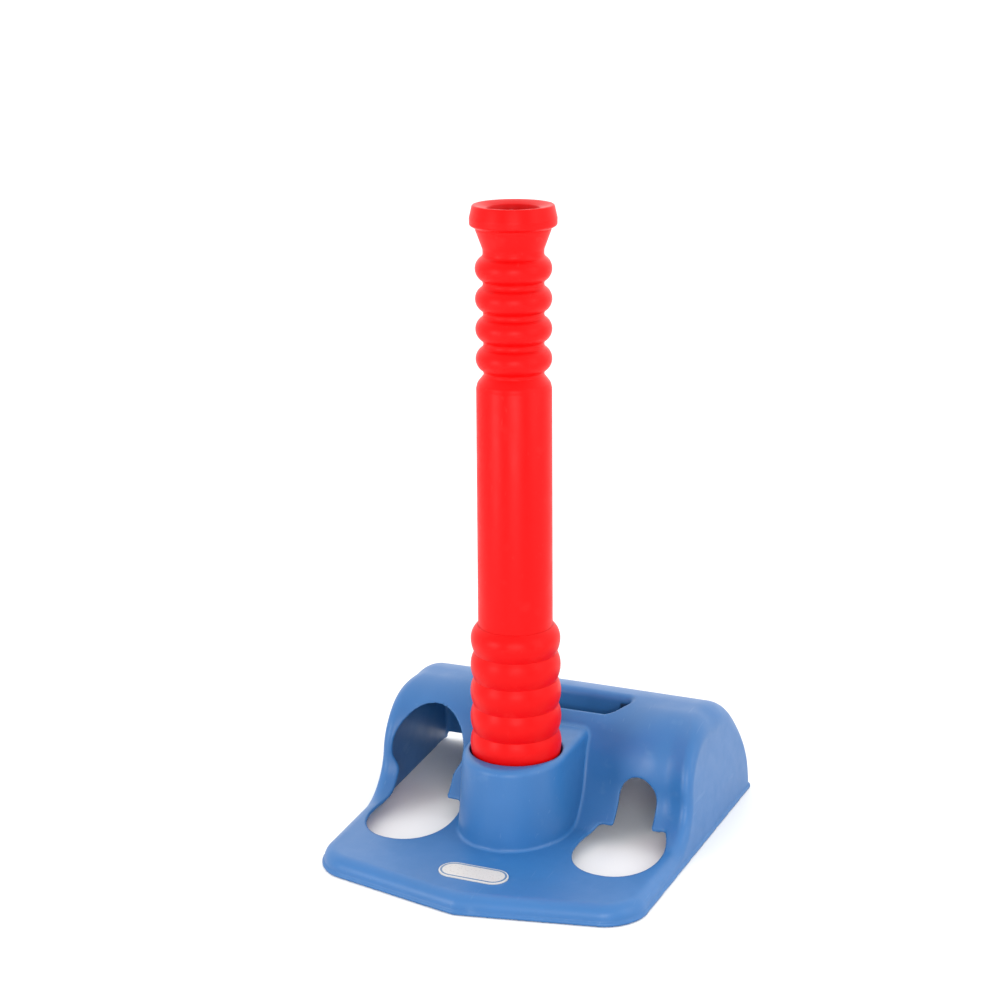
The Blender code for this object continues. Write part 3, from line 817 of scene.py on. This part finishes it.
def label_film():
    """Printed film: an off-white field inside a thin keyline, left blank."""
    n = Nodes("label_film")
    half_length = (LABEL_HIGH[0] - LABEL_LOW[0]) / 2
    half_width = (LABEL_HIGH[1] - LABEL_LOW[1]) / 2
    split = n.add("ShaderNodeSeparateXYZ")
    n.link(n.coords, split.inputs["Vector"])
    along = n.math("ABSOLUTE", n.math("SUBTRACT", split.outputs["X"], LABEL_MIDDLE[0]), 0.0)
    past = n.math("MAXIMUM", n.math("SUBTRACT", along, half_length - half_width), 0.0)
    across = n.math("SUBTRACT", split.outputs["Y"], LABEL_MIDDLE[1])
    square = n.math("ADD", n.math("MULTIPLY", past, past), n.math("MULTIPLY", across, across))
    out = n.math("SUBTRACT", n.math("SQRT", square, 0.0), half_width)
    outer_inset, inner_inset = KEYLINE_INSET
    inner = n.spread(out, -inner_inset - KEYLINE_BLUR, -inner_inset + KEYLINE_BLUR, 0.0, 1.0)
    outer = n.spread(out, -outer_inset - KEYLINE_BLUR, -outer_inset + KEYLINE_BLUR, 1.0, 0.0)
    line = n.math("MULTIPLY", inner, outer)
    fibre = n.noise(700.0, 2.0)
    field = n.blend(n.spread(fibre, *NOISE_SPAN, 0.0, 1.0), shade(WHITE, 0.98), shade(WHITE, 1.02))
    n.link(n.blend(line, field, KEYLINE), n.shader.inputs["Base Color"])
    n.link(n.spread(fibre, *NOISE_SPAN, 0.26, 0.34), n.shader.inputs["Roughness"])
    n.link(n.bump(n.noise(90.0, 2.0), 0.00010, 0.3), n.shader.inputs["Normal"])
    return n.material


# --- pieces ---------------------------------------------------------------------------
def finish_piece(obj, material, body_name, node):
    """Gives a piece its material, the body it rides on and the node it stands for."""
    obj.data.materials.append(material)
    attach(obj, body_name)
    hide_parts(node)


def make_base():
    points, faces = surface_net(base_field, BASE_LOW, BASE_HIGH, CELL)
    obj = new_mesh_object("moulded_base", points, faces)
    blue = moulded_plastic("blue_plastic", BLUE, BLUE_SCUFF, scuffing=0.10, roughness=0.42, shine=0.5)
    finish_piece(obj, blue, "base", "base_shell")


def make_label():
    """A stadium plate with rounded top edges."""
    half_length = (LABEL_HIGH[0] - LABEL_LOW[0]) / 2
    half_width = (LABEL_HIGH[1] - LABEL_LOW[1]) / 2
    middle_x, middle_y = LABEL_MIDDLE
    edge = (LABEL_HIGH[2] - LABEL_LOW[2]) * LABEL_EDGE

    def ring(inset, z):
        """The outline this far in, at this height: an arc at each end."""
        points = []
        end_r = half_width - inset
        for side, start in ((1, -90.0), (-1, 90.0)):
            end_x = middle_x + side * (half_length - half_width)
            for k in range(LABEL_END_STEPS + 1):
                angle = math.radians(start + 180.0 * k / LABEL_END_STEPS)
                points.append((end_x + end_r * math.cos(angle), middle_y + end_r * math.sin(angle), z))
        return points

    rings = [ring(0.0, PLATE_TOP - LABEL_SINK)]
    for k in range(LABEL_EDGE_STEPS + 1):
        angle = math.pi / 2.0 * k / LABEL_EDGE_STEPS
        inset = edge * (1.0 - math.cos(angle))
        rings.append(ring(inset, LABEL_HIGH[2] - edge * (1.0 - math.sin(angle))))
    count = len(rings[0])
    faces = [tuple(reversed(range(count)))]
    for level in range(len(rings) - 1):
        here = level * count
        above = here + count
        for i in range(count):
            j = (i + 1) % count
            faces.append((here + i, here + j, above + j, above + i))
    faces.append(tuple(range((len(rings) - 1) * count, len(rings) * count)))
    obj = new_mesh_object("blank_label", [p for points in rings for p in points], faces)
    obj.data.set_sharp_from_angle(angle=LABEL_CREASE)
    obj.data.polygons[-1].use_smooth = False
    finish_piece(obj, label_film(), "base", "label_plate")


def make_post():
    """The post's two pieces, in one red plastic."""
    red = moulded_plastic("red_plastic", RED, RED_SCUFF, scuffing=0.05, roughness=0.40, shine=0.13)
    sleeve = turned_piece("corrugated_sleeve", sleeve_profile())
    finish_piece(sleeve, red, "sleeve", "lower_sleeve")
    tube = turned_piece("necked_tube", tube_profile())
    finish_piece(tube, red, "tube", "upper_tube")


# --- the studio --------------------------------------------------------------------------
def aim(obj, target):
    obj.rotation_euler = (Vector(target) - obj.location).to_track_quat("-Z", "Y").to_euler()


def softbox(name, at, target, size, power):
    light = bpy.data.lights.new(name, "AREA")
    light.shape = "RECTANGLE"
    light.size = size[0]
    light.size_y = size[1]
    light.energy = power
    obj = bpy.data.objects.new(name, light)
    bpy.context.scene.collection.objects.link(obj)
    obj.location = at
    aim(obj, target)


def make_floor():
    n = Nodes("pale_floor")
    n.shader.inputs["Base Color"].default_value = (FLOOR_GREY, FLOOR_GREY, FLOOR_GREY, 1.0)
    n.shader.inputs["Roughness"].default_value = FLOOR_ROUGHNESS
    corners = ((-1, -1), (1, -1), (1, 1), (-1, 1))
    points = [(x * FLOOR_HALF_SIZE, y * FLOOR_HALF_SIZE, 0.0) for x, y in corners]
    floor = new_mesh_object("floor", points, [(0, 1, 2, 3)])
    floor.location.z = -FLOOR_DROP
    floor.data.materials.append(n.material)


def make_world():
    """An even studio dome: bright behind and above, dimmer on the camera's side."""
    world = bpy.data.worlds.new("studio")
    world.use_nodes = True
    tree = world.node_tree
    coords = tree.nodes.new("ShaderNodeTexCoord")
    facing = tree.nodes.new("ShaderNodeVectorMath")
    facing.operation = "DOT_PRODUCT"
    facing.inputs[1].default_value = Vector(BRIGHT_SIDE).normalized()
    strength = tree.nodes.new("ShaderNodeMapRange")
    for key, value in zip(MAP_KEYS, (-DOME_REACH, DOME_REACH, *DOME)):
        strength.inputs[key].default_value = value
    tree.links.new(coords.outputs["Generated"], facing.inputs[0])
    tree.links.new(facing.outputs["Value"], strength.inputs["Value"])
    tree.links.new(strength.outputs["Result"], tree.nodes["Background"].inputs["Strength"])
    tree.nodes["Background"].inputs["Color"].default_value = (1.0, 1.0, 1.0, 1.0)
    bpy.context.scene.world = world


def make_studio():
    make_world()
    bpy.context.scene.view_settings.view_transform = "Standard"
    for name, (at, target, size, power) in SOFTBOXES.items():
        softbox(name, at, target, size, power)


def make_camera():
    """A level camera turned by its yaw, then pitched down and rolled."""
    yaw, pitch, roll = (math.radians(a) for a in (CAMERA_YAW, CAMERA_PITCH, CAMERA_ROLL))
    ahead = Vector((-math.sin(yaw) * math.cos(pitch), math.cos(yaw) * math.cos(pitch), -math.sin(pitch)))
    right = Vector((math.cos(yaw), math.sin(yaw), 0.0))
    up = right.cross(ahead)
    tilted_right = right * math.cos(roll) + up * math.sin(roll)
    tilted_up = up * math.cos(roll) - right * math.sin(roll)
    data = bpy.data.cameras.new("camera")
    data.lens = CAMERA_LENS
    data.sensor_width = CAMERA_SENSOR
    camera = bpy.data.objects.new("camera", data)
    bpy.context.scene.collection.objects.link(camera)
    turn = Matrix((tilted_right, tilted_up, -ahead)).transposed().to_4x4()
    camera.matrix_world = Matrix.Translation(CAMERA_AT) @ turn
    bpy.context.scene.camera = camera


def main():
    make_base()
    make_label()
    make_post()
    make_floor()
    make_studio()
    make_camera()


main()
